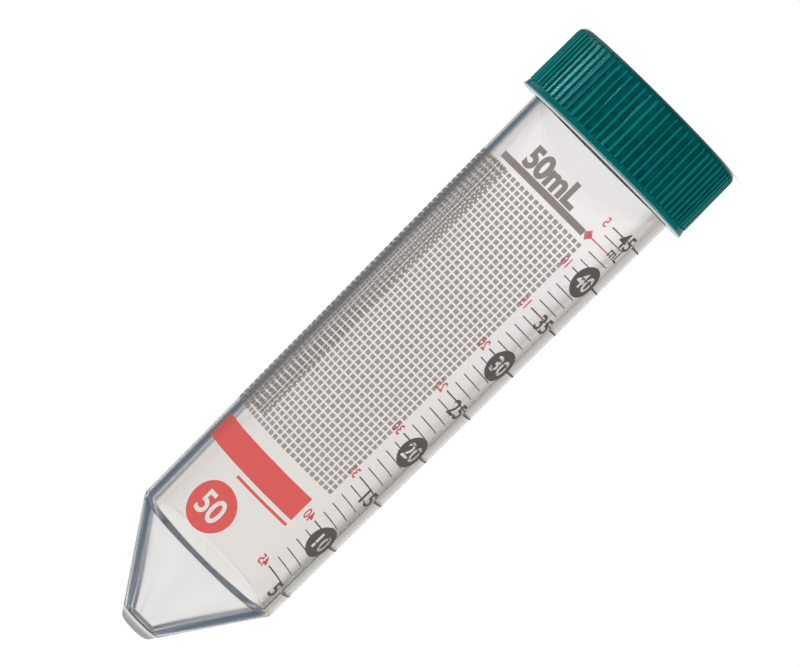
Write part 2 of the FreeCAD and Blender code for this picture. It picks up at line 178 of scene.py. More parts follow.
# %% [markdown]
# ## The studio
#
# Clear plastic has hardly a colour of its own: it shows what stands round it. Light that passes near
# the tube's edges is bent by tens of degrees, so what stands there draws the tube's dark and bright
# lines. Cards could be set up as planes, but they would throw shadows and be seen, so the world is
# painted by direction instead. Directions are measured from the line of sight, which is +Y: how far
# off it they lie, and how far round it from +X by way of up.
#
# - Ahead, the world is white.
# - Towards -X stands a grey card, with a bright strip down its near side and one at its upper corner.
#   It ends at a dark wall.
# - Towards +X and a little below stands another grey card.
# - All round except towards -X stands a blue-grey card, with white or that grey card behind it. It
#   begins sooner straight above and below, and reaches further out above the horizon than below.
# - Far off the line of sight the room is dark.
#
# Light that goes through the tube with no reflection finds white far off the line of sight, and also
# nearer to it where it goes down. That keeps the tube clear from other sides. Matt surfaces get an
# even grey fill from the world instead, and the camera itself sees white behind the object.

# %% Studio cards
FILL = (0.80, 0.80, 0.80, 1.0)
SIDE_GREY = (0.60, 0.59, 0.555, 1.0)
SIDE_BRIGHT = (0.88, 0.865, 0.83, 1.0)
EDGE_GREY = (0.58, 0.56, 0.53, 1.0)
ROOM_BLUE = (0.100, 0.135, 0.185, 1.0)
ROOM_DARK = (0.06, 0.06, 0.06, 1.0)
FAR_WHITE = (0.95, 0.95, 0.94, 1.0)

# Degrees off the line of sight, from where a change begins to where it ends.
SIDE_OFF = (5, 11)
SIDE_STRIP_OFF = ((9, 12), (17, 20))
CORNER_STRIP_OFF = ((20, 26), (38, 42))
SIDE_WALL_OFF = (41, 43)
EDGE_OFF = (5, 13)
BLUE_START_OFF, BLUE_END_OFF = (14, 20), (26, 37)
DARK_OFF = (55, 75)
FAR_OFF = (70, 80)
LOW_OFF = (16, 24)

# Degrees round the line of sight.
CORNER_STRIP_ROUND = ((116, 124), (146, 154))
EDGE_ROUND_SIGHT = ((-60, -40), (6, 20))
BLUE_ROUND = ((-125, -100), (145, 165))
BLUE_WIDER_ROUND, BLUE_WIDEST_ROUND = (0, 8), (15, 30)
BLUE_WIDER, BLUE_WIDEST = 13, 12

# How upright a direction is round the line of sight, from 0 beside it to 1 above or below it.
BLUE_SOONER_UPRIGHT, BLUE_LATER_UPRIGHT = (0.8, 0.92), (0.3, 0.6)
BLUE_SOONER, BLUE_LATER = 7, 2

# The height of a direction one unit long: light that goes down is below the first.
LOW_HEIGHT = (-0.09, -0.05)

# %% World
world = bpy.data.worlds.new("studio")
world.use_nodes = True
bpy.context.scene.world = world
sky = Tree(world.node_tree)
direction = sky.node("ShaderNodeTexCoord").out("Generated")
parts = sky.node("ShaderNodeSeparateXYZ", None, {0: direction})
ahead, up = parts.out("Y"), parts.out("Z")
off_sight = ahead.math("ARCCOSINE") * math.degrees(1)
round_sight = up.math("ARCTAN2", parts.out("X")) * math.degrees(1)
upright = up.math("ABSOLUTE").math("DIVIDE", (1 - ahead * ahead).math("SQRT"))

blue_side = sky.band(round_sight, *BLUE_ROUND)
room = sky.mixed(sky.step(off_sight, *SIDE_OFF) * (1 - blue_side), WHITE, SIDE_GREY)
side_strip = sky.band(off_sight, *SIDE_STRIP_OFF) * (1 - blue_side)
corner_strip = sky.band(round_sight, *CORNER_STRIP_ROUND) * sky.band(off_sight, *CORNER_STRIP_OFF)
room = sky.mixed(side_strip.math("MAXIMUM", corner_strip), room, SIDE_BRIGHT)

edge = sky.step(off_sight, *EDGE_OFF) * sky.band(round_sight, *EDGE_ROUND_SIGHT)
room = sky.mixed(edge, room, EDGE_GREY)

blue_start = off_sight + sky.step(upright, *BLUE_SOONER_UPRIGHT) * BLUE_SOONER
blue_start = blue_start - sky.step(upright, *BLUE_LATER_UPRIGHT) * BLUE_LATER
blue_end = off_sight - sky.step(round_sight, *BLUE_WIDER_ROUND) * BLUE_WIDER
blue_end = blue_end - sky.step(round_sight, *BLUE_WIDEST_ROUND) * BLUE_WIDEST
blue = sky.step(blue_start, *BLUE_START_OFF) * (1 - sky.step(blue_end, *BLUE_END_OFF)) * blue_side
room = sky.mixed(blue, room, ROOM_BLUE)

side_wall = sky.step(off_sight, *SIDE_WALL_OFF) * (1 - blue_side)
room = sky.mixed(sky.step(off_sight, *DARK_OFF).math("MAXIMUM", side_wall), room, ROOM_DARK)

path = sky.node("ShaderNodeLightPath")
no_reflection = 1 - path.out("Glossy Depth").math("GREATER_THAN", 0.5)
going_down = 1 - sky.step(up, *LOW_HEIGHT)
far = sky.step(off_sight, *FAR_OFF).math("MAXIMUM", sky.step(off_sight, *LOW_OFF) * going_down)
room = sky.mixed(far * no_reflection, room, FAR_WHITE)

sees_room = path.out("Is Glossy Ray").math("MAXIMUM", path.out("Is Transmission Ray"))
sees_room = sees_room * (1 - path.out("Diffuse Depth").math("GREATER_THAN", 0.5))
light = sky.mixed(path.out("Is Camera Ray"), sky.mixed(sees_room, FILL, room), WHITE)
backdrop = sky.node("ShaderNodeBackground", None, {"Color": light})
sky.node("ShaderNodeOutputWorld", None, {"Surface": backdrop})
print("the world has", len(world.node_tree.nodes), "nodes")

# %% [markdown]
# ## Floor and lamps
#
# The floor is a pale disc under the cap. Its own faint glow, seen only by the camera and through the
# plastic, lifts it to white without more light on the tube, and it still darkens under the cap. It is
# left out of reflections and of the light on matt surfaces, where it would take the cards' place.
#
# Two lamps stand towards +X: a wide one lights the ribs from the side, and a small strong one is seen
# in reflections only and gives them their shine. A large one in front fills. The tube and its print
# are left out of what the lamps light, as a lamp is flagged off a glass in a studio: only the world
# lights them.

# %% Floor
FLOOR_RADIUS = 0.25
FLOOR_SIDES = 96
FLOOR_PALE = (0.9, 0.9, 0.9, 1.0)
FLOOR_GLOW = 0.45
bpy.ops.object.select_all(action="DESELECT")
bpy.ops.mesh.primitive_circle_add(vertices=FLOOR_SIDES, radius=FLOOR_RADIUS, fill_type="NGON")
floor = bpy.context.object
floor.name = "floor"
floor_finish, tree = new_finish("floor_white")
path = tree.node("ShaderNodeLightPath")
shown = path.out("Is Camera Ray").math("MAXIMUM", path.out("Is Transmission Ray"))
matt = tree.node("ShaderNodeBsdfDiffuse", None, {"Color": FLOOR_PALE})
glow = tree.node("ShaderNodeEmission", None, {"Strength": shown * FLOOR_GLOW})
lit = tree.node("ShaderNodeAddShader", None, {0: matt, 1: glow})
tree.node("ShaderNodeOutputMaterial", None, {"Surface": lit})
floor.data.materials.append(floor_finish)
floor.visible_glossy = False
floor.visible_diffuse = False
print("the floor is", 2 * FLOOR_RADIUS, "m across")

# %% Lamps
MIDDLE = (0, 0, tube_high.z / 2)
flagged = bpy.data.collections.new("flagged_off_the_tube")


def flag_off(piece):
    """Leave a piece out of what the lamps light and out of what throws a shadow from them."""
    flagged.objects.link(piece)
    flagged.collection_objects[-1].light_linking.link_state = "EXCLUDE"


def add_lamp(name, place, size, watts):
    """A square area lamp that faces the tube's middle and leaves out what is flagged off."""
    data = bpy.data.lights.new(name, "AREA")
    data.shape = "SQUARE"
    data.size = size
    data.energy = watts
    lamp = bpy.data.objects.new(name, data)
    bpy.context.collection.objects.link(lamp)
    lamp.location = place
    lamp.rotation_euler = (Vector(MIDDLE) - Vector(place)).to_track_quat("-Z", "Y").to_euler()
    lamp.light_linking.receiver_collection = flagged
    lamp.light_linking.blocker_collection = flagged
    return lamp


add_lamp("left_lamp", (0.60, -0.06, 0.10), size=0.36, watts=1.6)
add_lamp("front_lamp", (0.20, -0.90, 0.50), size=0.70, watts=2.6)
shine = add_lamp("shine_lamp", (0.55, 0.05, 0.02), size=0.30, watts=8.0)
shine.visible_diffuse = False

# %% [markdown]
# ## Drawing round pieces ring by ring
#
# Both mouldings are round, so each starts as one circle that is extruded and resized from corner to
# corner of its section, as a potter would draw up a wall. Lathing a drawn section with Spin would
# work too, but rings make it easy to pick a corner to round it, and to pull the valleys between the
# cap's ribs in.

# %% Ring helpers
NEAR = 0.004  # millimetres that a vertex may lie off the ring it belongs to
DOUBLES = 0.000001  # metres apart below which two vertices are one
SMOOTH_BELOW = math.radians(40)  # edges that turn more than this stay sharp


def start_ring(name, sides, radius, z):
    """A circle about the axis, open for editing, with its ring selected."""
    bpy.ops.object.select_all(action="DESELECT")
    bpy.ops.mesh.primitive_circle_add(vertices=sides, radius=radius * MM, location=(0, 0, z * MM))
    bpy.ops.object.transform_apply(location=True, rotation=True, scale=True)
    piece = bpy.context.object
    piece.name = name
    bpy.ops.object.mode_set(mode="EDIT")
    bpy.ops.mesh.select_all(action="SELECT")
    return piece


def draw_rings(corners):
    """Extrude the selected ring through the section's (radius, height) corners, from the first one on."""
    for (radius, z), (next_radius, next_z) in zip(corners, corners[1:]):
        bpy.ops.mesh.extrude_region_move(TRANSFORM_OT_translate={"value": (0, 0, (next_z - z) * MM)})
        grow = next_radius / radius
        bpy.ops.transform.resize(value=(grow, grow, 1), center_override=(0, 0, next_z * MM))


def pick_ring(piece, radius, z):
    """Select only the ring of edges at a radius and height."""
    bpy.ops.mesh.select_mode(type="EDGE")
    bpy.ops.mesh.select_all(action="DESELECT")
    shape = bmesh.from_edit_mesh(piece.data)
    for edge in shape.edges:
        ends = [(math.hypot(v.co.x, v.co.y) / MM, v.co.z / MM) for v in edge.verts]
        edge.select = all(abs(r - radius) < NEAR and abs(h - z) < NEAR for r, h in ends)
    shape.select_flush_mode()
    bmesh.update_edit_mesh(piece.data)


def round_ring(piece, radius, z, arc, turn, segments):
    """Round the ring at a corner that turns by so many degrees with an arc of this radius."""
    pick_ring(piece, radius, z)
    offset = arc * math.tan(math.radians(turn) / 2)
    bpy.ops.mesh.bevel(offset=offset * MM, segments=segments, affect="EDGES", clamp_overlap=False)


def close_mesh(piece):
    """Merge doubles, point every face outwards and leave edit mode."""
    bpy.ops.mesh.select_mode(type="VERT")
    bpy.ops.mesh.select_all(action="SELECT")
    bpy.ops.mesh.remove_doubles(threshold=DOUBLES)
    bpy.ops.mesh.normals_make_consistent(inside=False)
    bpy.ops.object.mode_set(mode="OBJECT")


def report(piece):
    """Print what a piece is made of."""
    triangles = sum(len(face.vertices) - 2 for face in piece.data.polygons)
    print(piece.name, "has", triangles, "triangles")


# %% [markdown]
# ## The tube
#
# The tube is one moulding in clear polypropylene: a neck with a screw ridge inside the cap, a collar
# with a thin upstanding rim that wraps the cap's end, a long body that narrows a little, a cone and
# a blunt tip. Its wall is a millimetre thick at the collar and half as much again at the cone. Light
# is bent by both faces of the wall, so both are modelled, with many sides and true rounds.

# %% Tube sizes
TUBE_SIDES = 256
BODY_LENGTH = 87.0
BODY_R = 14.48
BODY_WALL = 1.01
CONE_R = 13.8
CONE_BODY_WALL = 1.43
CONE_WALL = 1.4
CONE_TURN = 34.2
TIP_WALL = 1.9
NECK_WALL = 1.08
COLLAR_GAP = 0.1
COLLAR_EDGE = 0.45
COLLAR_RISE = 0.15
RIM_Z = 11.74
RIM_WALL = 0.3
RIM_FLARE = 0.2
MOUTH_STEP = 0.5  # how far into the mouth's flat edge both drawings begin
HUB_R = 0.4  # the last ring before a flat end is closed to a point

MOUTH_Z = tube_low.z / MM
END_Z = tube_high.z / MM
CORNER_R = tube_high.x / MM
SHELF_Z = cap_high.z / MM + COLLAR_GAP
CORNER_Z = SHELF_Z + COLLAR_EDGE
BODY_Z = CORNER_Z + COLLAR_RISE
CONE_Z = BODY_Z + BODY_LENGTH
RIM_R = CORNER_R - RIM_FLARE - RIM_WALL

cone_slope = math.tan(math.radians(CONE_TURN))
cone_across = CONE_WALL / math.cos(math.radians(CONE_TURN))
bore_draft = (BODY_R - BODY_WALL - CONE_R + CONE_BODY_WALL) / (CONE_Z - BODY_Z)
TIP_R = CONE_R - (END_Z - CONE_Z) * cone_slope
FLOOR_Z = END_Z - TIP_WALL
FLOOR_R = CONE_R - (FLOOR_Z - CONE_Z) * cone_slope - cone_across


def bore_r(z):
    """Radius of the tapered bore."""
    return CONE_R - CONE_BODY_WALL + (CONE_Z - z) * bore_draft


MOUTH_R = bore_r(MOUTH_Z)
NECK_R = MOUTH_R + NECK_WALL
BORE_CONE_Z = CONE_Z + (CONE_R - cone_across - bore_r(CONE_Z)) / (cone_slope - bore_draft)
BORE_CONE_R = bore_r(BORE_CONE_Z)
outer = [
    (MOUTH_R + MOUTH_STEP, MOUTH_Z), (NECK_R, MOUTH_Z), (NECK_R, SHELF_Z), (RIM_R, SHELF_Z),
    (RIM_R, RIM_Z), (RIM_R + RIM_WALL, RIM_Z), (CORNER_R, CORNER_Z), (BODY_R, BODY_Z),
    (CONE_R, CONE_Z), (TIP_R, END_Z), (HUB_R, END_Z),
]
inner = [
    (MOUTH_R + MOUTH_STEP, MOUTH_Z), (MOUTH_R, MOUTH_Z), (BORE_CONE_R, BORE_CONE_Z),
    (FLOOR_R, FLOOR_Z), (HUB_R, FLOOR_Z),
]
print("the cone begins", round(CONE_Z, 2), "mm up, and its inside", round(BORE_CONE_Z, 2), "mm up")

# %% Tube
TUBE_ROUNDS = [  # radius and height of a corner, its arc, the degrees it turns, segments
    (CONE_R, CONE_Z, 1.5, CONE_TURN, 8),
    (TIP_R, END_Z, 1.2, 90 - CONE_TURN, 8),
    (BORE_CONE_R, BORE_CONE_Z, 1.5, CONE_TURN, 8),
    (FLOOR_R, FLOOR_Z, 0.9, 90 - CONE_TURN, 6),
    (NECK_R, MOUTH_Z, 0.25, 90, 4),
    (MOUTH_R, MOUTH_Z, 0.15, 90, 3),
    (RIM_R, RIM_Z, 0.06, 90, 2),
    (RIM_R + RIM_WALL, RIM_Z, 0.1, 80, 3),
    (CORNER_R, CORNER_Z, 0.06, 90, 3),
    (BODY_R, BODY_Z, 0.1, 82, 4),
]
tube = start_ring("clear_tube", TUBE_SIDES, *outer[0])
draw_rings(outer)
bpy.ops.mesh.merge(type="CENTER")
pick_ring(tube, *inner[0])
draw_rings(inner)
bpy.ops.mesh.merge(type="CENTER")
for corner in TUBE_ROUNDS:
    round_ring(tube, *corner)
close_mesh(tube)
bpy.ops.object.shade_smooth_by_angle(angle=SMOOTH_BELOW)
report(tube)

# %% [markdown]
# ### The neck's screw ridge
#
# The ridge is a small trapezoid section drawn round the neck by a Screw modifier. It is welded to
# the wall with a Boolean union: a ridge that only overlapped the clear wall would show its own
# buried faces through it.

# %% Neck ridge
PITCH = 3.8
TURNS = 1.6
TURN_STEPS = 96
RIDGE_FOOT = 1.5
RIDGE_CREST = 0.7
RIDGE_START = 1.8
NECK_RIDGE = 0.5
NECK_SINK = 0.36


def screw_ridge(name, foot_r, crest_r, start_z, sink):
    """A helical ridge with closed ends, whose foot is sunk into the wall that carries it."""
    bpy.ops.object.select_all(action="DESELECT")
    middle = ((foot_r + crest_r) / 2 * MM, 0, start_z * MM)
    bpy.ops.mesh.primitive_circle_add(vertices=4, radius=MM, location=middle)
    ridge = bpy.context.object
    ridge.name = name
    bpy.ops.object.transform_apply(location=True, rotation=True, scale=True)
    side = 1 if crest_r > foot_r else -1
    foot = (foot_r - side * sink) * MM
    half_foot = (RIDGE_FOOT / 2 + sink * (RIDGE_FOOT - RIDGE_CREST) / 2 / abs(crest_r - foot_r)) * MM
    half_crest = RIDGE_CREST / 2 * MM
    crest = crest_r * MM
    places = [(foot, -half_foot), (crest, -half_crest), (crest, half_crest), (foot, half_foot)]
    for vertex, (x, z) in zip(ridge.data.vertices, places):
        vertex.co = (x, 0, start_z * MM + z)
    screw = ridge.modifiers.new("screw", "SCREW")
    screw.axis = "Z"
    screw.angle = 2 * math.pi * TURNS
    screw.screw_offset = PITCH * TURNS * MM
    screw.steps = TURN_STEPS
    screw.render_steps = TURN_STEPS
    bpy.ops.object.modifier_apply(modifier="screw")
    bpy.ops.object.mode_set(mode="EDIT")
    bpy.ops.mesh.select_all(action="DESELECT")
    bpy.ops.mesh.select_mode(type="EDGE")
    bpy.ops.mesh.select_non_manifold()
    bpy.ops.mesh.fill_holes(sides=0)
    close_mesh(ridge)
    return ridge


neck_start = MOUTH_Z + RIDGE_START
neck_ridge = screw_ridge("neck_ridge", NECK_R, NECK_R + NECK_RIDGE, neck_start, NECK_SINK)
report(neck_ridge)
bpy.ops.object.select_all(action="DESELECT")
bpy.context.view_layer.objects.active = tube
tube.select_set(True)
weld = tube.modifiers.new("weld", "BOOLEAN")
weld.operation = "UNION"
weld.object = neck_ridge
bpy.ops.object.modifier_apply(modifier="weld")
bpy.data.objects.remove(neck_ridge)
bpy.ops.object.shade_smooth_by_angle(angle=SMOOTH_BELOW)
report(tube)

# %% [markdown]
# ### Clear plastic
#
# Clear polypropylene is drawn as a glass with a trace of warm colour and with the faint upright flow
# marks that moulding leaves. The tint is partly painted shade: it darkens along the body towards the
# cone. Where it is thick, at the tip and in the collar, it scatters light and looks milky. A volume
# could scatter the light as the real plastic does, but it is slow and grainy, so a matt shader is
# mixed in there by height and by distance from the axis. In the collar its colour is painted light:
# the cap's teal band painted on the rim, where the band shows through it, and a painted white
# highlight at the shelf's edge. At the tip it has a painted white highlight line beyond the hollow's
# floor, and painted shade darkens it towards the end. The cone is a little hazy.

# %% Clear plastic colours
BODY_TINT = (0.960, 0.945, 0.940, 1.0)
# Painted shade: the body's tint darkens to this towards the cone.
BODY_END_SHADE_TINT = (0.928, 0.912, 0.893, 1.0)
CONE_TINT = (0.955, 0.948, 0.939, 1.0)
# Painted light in the collar: the cap's teal on the rim and the shelf, for the band seen through it.
RIM_PAINTED_TEAL = (0.002, 0.255, 0.250, 1.0)
SHELF_PAINTED_TEAL = (0.06, 0.31, 0.32, 1.0)
TIP_MILK = (0.66, 0.67, 0.69, 1.0)
# Painted shade: the tip's matt colour darkens to these towards the end.
TIP_SIDE_SHADE = (0.50, 0.505, 0.52, 1.0)
TIP_END_SHADE = (0.34, 0.355, 0.385, 1.0)
# The collar's and the shelf's shares are of the matt shader that carries the painted light.
CONE_HAZE, TIP_HAZE, COLLAR_PAINT_SHARE, SHELF_PAINT_SHARE = 0.03, 0.8, 0.6, 0.35
COLLAR_IN_R = 15.3
COLLAR_FADE = 0.3
CONE_FADE = 1.5

# %% Clear plastic
clear, tree = new_finish("clear_polypropylene")
place = tree.node("ShaderNodeTexCoord").out("Object")
stretched = tree.node("ShaderNodeMapping", None, {"Vector": place, "Scale": (900, 900, 30)})
flow = tree.node("ShaderNodeTexNoise", None, {"Vector": stretched, "Scale": 1.0, "Detail": 2.0})
ripple = tree.node("ShaderNodeBump", None, {"Strength": 0.008, "Distance": 0.0002, "Height": flow})
parts = tree.node("ShaderNodeSeparateXYZ", None, {0: place})
height = parts.out("Z")


def above(low, high):
    """0 below one height in millimetres and 1 above the other."""
    return tree.step(height, low * MM, high * MM)


in_cone = above(CONE_Z, CONE_Z + CONE_FADE)
# Painted shade: the tint is darker towards the cone.
body_tint_and_shade = tree.mixed(above(BODY_Z, CONE_Z), BODY_TINT, BODY_END_SHADE_TINT)
glass = tree.node(
    "ShaderNodeBsdfPrincipled",
    None,
    {
        "Base Color": tree.mixed(in_cone, body_tint_and_shade, CONE_TINT),
        "Roughness": 0.02,
        "IOR": 1.49,
        "Transmission Weight": 1.0,
        "Normal": ripple,
    },
)
from_axis = axis_distance(parts)
in_collar = tree.step(from_axis, COLLAR_IN_R * MM, (COLLAR_IN_R + COLLAR_FADE) * MM)
on_shelf = in_collar * above(SHELF_Z - 0.05, SHELF_Z + 0.1)
# Painted light: the cap's teal in the collar, then a painted white highlight over the shelf's edge.
collar_painted_light = tree.mixed(on_shelf, RIM_PAINTED_TEAL, SHELF_PAINTED_TEAL)
collar_painted_light = tree.mixed(above(SHELF_Z + 0.15, CORNER_Z + 0.05), collar_painted_light, WHITE)

in_tip = above(FLOOR_Z + 0.15, FLOOR_Z + 0.35)
# A painted white highlight line beyond the hollow's floor, then painted shade towards the end.
tip_highlight_line = in_tip * (1 - above(FLOOR_Z + 0.60, FLOOR_Z + 0.72))
tip_milk_and_painted_light = tree.mixed(above(FLOOR_Z + 0.75, FLOOR_Z + 1.3), TIP_MILK, TIP_SIDE_SHADE)
tip_milk_and_painted_light = tree.mixed(above(END_Z - 0.35, END_Z - 0.05), tip_milk_and_painted_light, TIP_END_SHADE)
tip_milk_and_painted_light = tree.mixed(tip_highlight_line, tip_milk_and_painted_light, WHITE)
tip_milk_and_painted_light = tree.mixed(in_tip, WHITE, tip_milk_and_painted_light)

haze_and_paint_share = in_cone * CONE_HAZE + in_tip * TIP_HAZE + in_collar * COLLAR_PAINT_SHARE + on_shelf * SHELF_PAINT_SHARE
milk_and_painted_colour = tree.mixed(in_collar, tip_milk_and_painted_light, collar_painted_light)
milk_and_painted_light = tree.node("ShaderNodeBsdfDiffuse", None, {"Color": milk_and_painted_colour})
hazy = tree.node("ShaderNodeMixShader", None, {0: haze_and_paint_share, 1: glass, 2: milk_and_painted_light})
tree.node("ShaderNodeOutputMaterial", None, {"Surface": hazy})
tube.data.materials.append(clear)
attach(tube, "tube")
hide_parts("tube")
flag_off(tube)
print("the clear plastic has", len(clear.node_tree.nodes), "nodes")

# %% [markdown]
# ## The cap
#
# The cap is one moulding too: a flat top with a rounded edge, a skirt with 77 ribs for the fingers,
# a plain band at its open end, and inside it a plug ring and a screw ridge. The ribs could be cut by
# a Boolean, but one long ring of vertices is enough: each ring of the skirt is drawn round at the
# crests' radius, and the vertices of the valleys are then pulled in.
#
# Ten vertices make a rib. They lie half a step off the rib's middle, so the second one on each side
# is right on the limit of the crest, and rounding decides whether it stays out. The crests are
# therefore two to four vertices wide. A limit of one or of two steps would make them all alike.

# %% Cap sizes
RIBS = 77
PER_RIB = 10
CREST_LIMIT = 1.5  # vertices further than this from a rib's middle are pulled in
GRIP_END = 11.64
GRIP_R = 16.949
GRIP_TOP_R = 16.849
GRIP_HEIGHTS = (3.5, 7.5)
GRIP_END_ROUND = 0.12
GRIP_END_DROP = 0.1
EDGE_ROUND = 1.4
EDGE_ANGLES = (18, 36, 50, 60, 70, 80)
VALLEY_R = 16.549
BAND_R = 16.469
BAND_Z = cap_high.z / MM
BAND_CHAMFER = 0.1
BORE_R = 15.699
PLATE = 1.4
PLUG_R = 13.4685
PLUG_IN_R = 12.6685
PLUG_Z = 3.8
PLUG_CHAMFER = 0.3
CAP_HUB_R = 6.0
CAP_SMOOTH_BELOW = math.radians(35)


def edge_r(z):
    """Radius of the rounded edge of the flat top."""
    return GRIP_TOP_R - EDGE_ROUND + math.sqrt(EDGE_ROUND**2 - (EDGE_ROUND - z) ** 2)


def crest_r(z):
    """Radius of the ribs' crests, which widen a little to the open end."""
    return GRIP_TOP_R + (GRIP_R - GRIP_TOP_R) * z / GRIP_END


def pull_valleys(piece, radius, z, valley):
    """Pull the ring at this place in to the valleys' radius between the ribs."""
    bpy.ops.mesh.select_mode(type="VERT")
    bpy.ops.mesh.select_all(action="DESELECT")
    shape = bmesh.from_edit_mesh(piece.data)
    for vertex in shape.verts:
        here = math.hypot(vertex.co.x, vertex.co.y) / MM
        if abs(here - radius) > NEAR or abs(vertex.co.z / MM - z) > NEAR:
            continue
        turn = math.degrees(math.atan2(vertex.co.y, vertex.co.x)) / 360 * RIBS
        vertex.select = abs(turn - round(turn)) * PER_RIB > CREST_LIMIT
    shape.select_flush_mode()
    bmesh.update_edit_mesh(piece.data)
    shrink = valley / radius
    bpy.ops.transform.resize(value=(shrink, shrink, 1), center_override=(0, 0, z * MM))


print("a rib is", round(math.tau * GRIP_R / RIBS, 2), "mm from the next")

# %% Cap
edge_heights = [EDGE_ROUND * (1 - math.cos(math.radians(angle))) for angle in EDGE_ANGLES]
edge_rings = [(edge_r(z), z) for z in edge_heights]
grip_rings = [(crest_r(z), z) for z in (EDGE_ROUND, *GRIP_HEIGHTS, GRIP_END - GRIP_END_ROUND)]
grip_end = (crest_r(GRIP_END) - GRIP_END_DROP, GRIP_END)
section = [(edge_r(0), 0)] + edge_rings + grip_rings + [
    grip_end, (BAND_R, GRIP_END), (BAND_R, BAND_Z - BAND_CHAMFER), (BAND_R - BAND_CHAMFER, BAND_Z),
    (BORE_R + BAND_CHAMFER, BAND_Z), (BORE_R, BAND_Z - BAND_CHAMFER), (BORE_R, PLATE), (PLUG_R, PLATE),
    (PLUG_R, PLUG_Z - PLUG_CHAMFER), (PLUG_R - PLUG_CHAMFER, PLUG_Z), (PLUG_IN_R, PLUG_Z),
    (PLUG_IN_R, PLATE), (CAP_HUB_R, PLATE),
]
cap = start_ring("ribbed_cap", RIBS * PER_RIB, *section[0])
draw_rings(section)
bpy.ops.mesh.merge(type="CENTER")
pick_ring(cap, *section[0])
draw_rings([section[0], (CAP_HUB_R, 0)])
bpy.ops.mesh.merge(type="CENTER")
for radius, z in edge_rings + grip_rings + [grip_end]:
    if radius > VALLEY_R:
        pull_valleys(cap, radius, z, VALLEY_R)
close_mesh(cap)
bpy.ops.object.shade_smooth_by_angle(angle=CAP_SMOOTH_BELOW)
report(cap)

# %% [markdown]
# ### The cap's screw ridge
#
# The bore carries a ridge of the same pitch, which points inwards and is half a pitch on, so that it
# lies between the neck's turns. It is drawn by the same function. The cap lets no light through, so
# the ridge is only joined to it with its foot sunk in the wall: a Boolean would change nothing that
# can be seen.

# %% Cap thread
CAP_RIDGE = 0.35
CAP_SINK = 0.28
cap_start = PLATE + RIDGE_START + PITCH / 2
cap_ridge = screw_ridge("cap_ridge", BORE_R, BORE_R - CAP_RIDGE, cap_start, CAP_SINK)
bpy.ops.object.select_all(action="DESELECT")
cap_ridge.select_set(True)
cap.select_set(True)
bpy.context.view_layer.objects.active = cap
bpy.ops.object.join()
report(cap)

# %% [markdown]
# ### Teal plastic
#
# The cap is a soft satin polyethylene. Its valleys between the ribs are painted a darker teal than
# the crests and the plain band: painted shade, for the shade that falls down in the valleys. The
# colour follows the distance from the axis for it. A cloudy noise varies the valleys and the gloss,
# and a fine grain is the mould's skin.

# %% Teal plastic
# Painted shade: the valleys' two teals are darker than the crests' teal.
SHADED_VALLEY_DEEP = (0.0, 0.062, 0.061, 1.0)
SHADED_VALLEY_LIGHT = (0.0, 0.092, 0.091, 1.0)
CREST_TEAL = (0.001, 0.178, 0.176, 1.0)
teal, tree = new_finish("teal_polyethylene")
place = tree.node("ShaderNodeTexCoord").out("Object")
parts = tree.node("ShaderNodeSeparateXYZ", None, {0: place})
from_axis = axis_distance(parts)
out_of_valley = tree.step(from_axis, (VALLEY_R + 0.05) * MM, (VALLEY_R + 0.3) * MM)
plain_band = tree.step(parts.out("Z"), (GRIP_END - 0.2) * MM, GRIP_END * MM)
crest = out_of_valley.math("MAXIMUM", plain_band)
cloud = tree.node("ShaderNodeTexNoise", None, {"Vector": place, "Scale": 700.0, "Detail": 3.0})
grain = tree.node("ShaderNodeTexNoise", None, {"Vector": place, "Scale": 4000.0, "Detail": 2.0})
# Painted shade in the valleys, varied at random by the cloud.
painted_valley_shade = tree.mixed(tree.step(cloud, 0.35, 0.7), SHADED_VALLEY_DEEP, SHADED_VALLEY_LIGHT)
skin = tree.node("ShaderNodeBump", None, {"Strength": 0.08, "Distance": 0.0001, "Height": grain})
satin = tree.node(
    "ShaderNodeBsdfPrincipled",
    None,
    {
        "Base Color": tree.mixed(crest, painted_valley_shade, CREST_TEAL),
        "Roughness": 0.20 + cloud * 0.1 + plain_band * 0.5,
        "Specular IOR Level": 0.1,
        "Specular Tint": (0.3, 1.0, 1.0, 1.0),
        "Normal": skin,
    },
)
tree.node("ShaderNodeOutputMaterial", None, {"Surface": satin})
cap.data.materials.append(teal)
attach(cap, "cap")
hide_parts("cap")
print("the teal plastic has", len(teal.node_tree.nodes), "nodes")

# %% [markdown]
# ## Print on a round wall
#
# The ink is screen-printed while the tube rolls against the screen, so each mark is a flat drawing
# wrapped round a cylinder. The marks are drawn flat here as well, as a reader with the tube's tip
# down sees them: to the right is a distance along the wall, and up is towards the cap. The sheet is
# then cut into narrow strips, bent round the axis, pressed on the wall by a Shrinkwrap and given
# the ink's thickness by a Solidify. A picture could hold the print instead, but shapes keep their
# sharp edges however near one looks.

# %% Sheet helpers
STRIP = 0.75  # the widest strip that a sheet is cut into before it is bent
INK_GAP = 0.006  # between the wall and the ink, so that their faces don't fight
INK = 0.012


def body_r(z):
    """Radius of the tapered body."""
    return CONE_R + (CONE_Z - z) / (CONE_Z - BODY_Z) * (BODY_R - CONE_R)


def along(bearing):
    """Distance along the wall from the front to a bearing in degrees, in millimetres."""
    return math.radians(bearing) * BODY_R


def set_down(mark, bearing, z, width=1.0, height=1.0):
    """Lay a flat mark about its own middle on the sheet, at a bearing and a height of the tube."""
    widen = BODY_R / body_r(z)
    mark.scale = (width * widen * MM, height * MM, MM)
    mark.location = (along(bearing) * MM, -z * MM, 0)
    bpy.ops.object.transform_apply(location=True, rotation=True, scale=True)
    return mark


